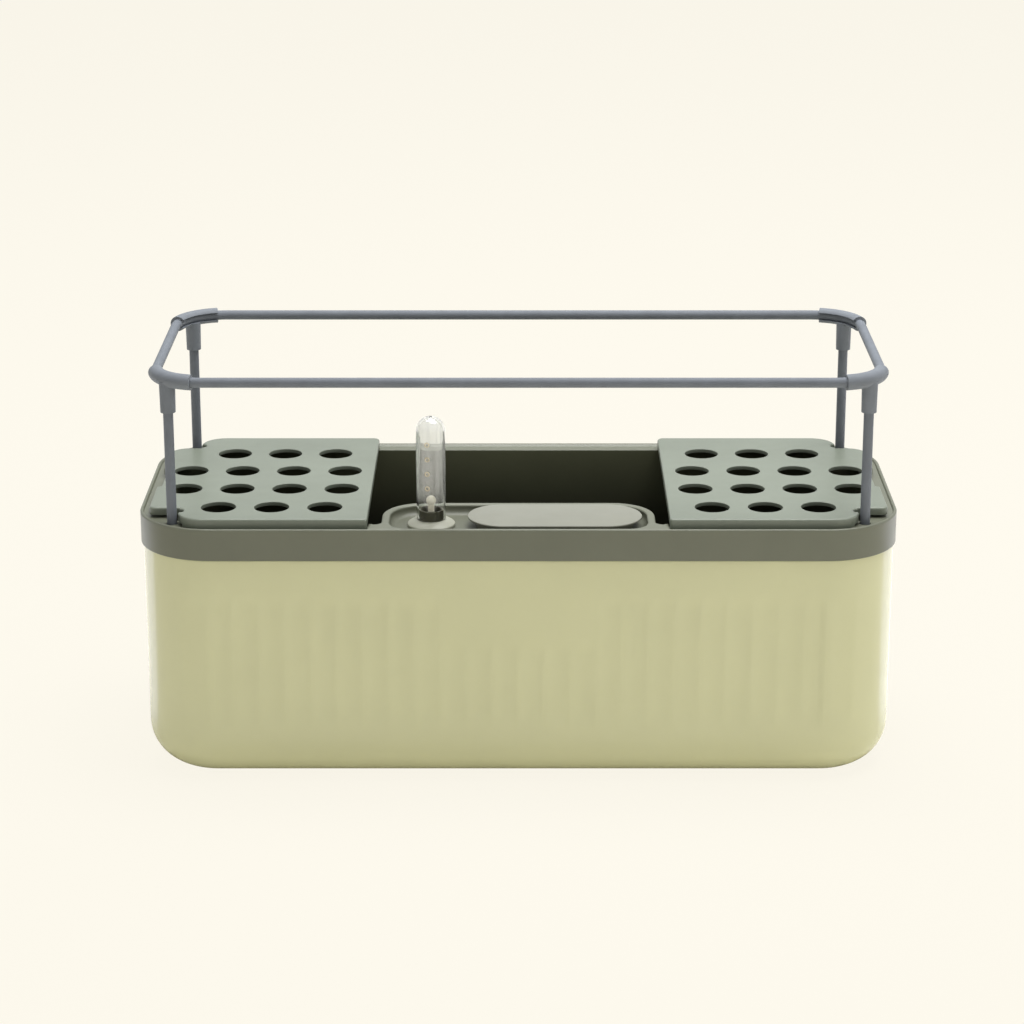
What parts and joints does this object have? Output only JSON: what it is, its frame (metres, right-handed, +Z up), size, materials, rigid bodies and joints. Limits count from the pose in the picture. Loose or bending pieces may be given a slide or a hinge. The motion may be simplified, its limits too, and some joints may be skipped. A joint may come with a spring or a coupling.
{
  "type": "self-watering herb planter",
  "caption": "Long tabletop planter with a fluted water reservoir, a lift-out planting trough, perforated covers, a fill lid, a clear float gauge and a low ring trellis.",
  "frame": {"origin": "bottom centre of the planter, on the surface it stands on", "axes": "+X along the length, -Y toward the front with the gauge and lid, +Z up"},
  "size_m": [0.4, 0.16, 0.2221],
  "materials": {
    "base_shell": "matte moulded pale sage",
    "insert_shell": "matte moulded olive grey",
    "wick_cup": "matte moulded dark olive",
    "cover": "satin moulded grey green",
    "lid": "satin moulded warm grey",
    "collar": "dark olive, satin",
    "clear_tube": "clear moulded",
    "guide": "matte moulded grey",
    "float": "matte cream",
    "trellis_tube": "blue grey coated tube",
    "clip": "blue grey moulded"
  },
  "bodies": {
    "base": {"reservoir_base": "base_shell"},
    "insert": {"rim_frame": "insert_shell", "planting_trough": "insert_shell", "service_tray": "insert_shell", "wick_cup_left": "wick_cup", "wick_cup_right": "wick_cup"},
    "cover_left": {"left_cover": "cover"},
    "cover_right": {"right_cover": "cover"},
    "lid": {"fill_lid": "lid"},
    "gauge": {"gauge_flange": "lid", "gauge_collar": "collar", "sight_tube": "clear_tube", "float_guide": "guide"},
    "level_float": {"float": "float", "float_stem": "float"},
    "trellis": {"post_front_left": "trellis_tube", "post_front_right": "trellis_tube", "post_back_left": "trellis_tube", "post_back_right": "trellis_tube", "clip_front_left": "clip", "clip_front_right": "clip", "clip_back_left": "clip", "clip_back_right": "clip", "trellis_ring": "trellis_tube"}
  },
  "joints": [
    {"name": "insert_lift", "type": "slide", "parent": "base", "child": "insert", "axis": [0, 0, 1], "range_m": [0, 0.13]},
    {"name": "cover_left_lift", "type": "slide", "parent": "insert", "child": "cover_left", "axis": [0, 0, 1], "range_m": [0, 0.05]},
    {"name": "cover_right_lift", "type": "slide", "parent": "insert", "child": "cover_right", "axis": [0, 0, 1], "range_m": [0, 0.05]},
    {"name": "lid_lift", "type": "slide", "parent": "insert", "child": "lid", "axis": [0, 0, 1], "range_m": [0, 0.06]},
    {"name": "gauge_lift", "type": "slide", "parent": "insert", "child": "gauge", "axis": [0, 0, 1], "range_m": [0, 0.06]},
    {"name": "float_rise", "type": "slide", "parent": "gauge", "child": "level_float", "axis": [0, 0, 1], "range_m": [0, 0.036]},
    {"name": "trellis_lift", "type": "slide", "parent": "insert", "child": "trellis", "axis": [0, 0, 1], "range_m": [0, 0.06]}
  ]
}
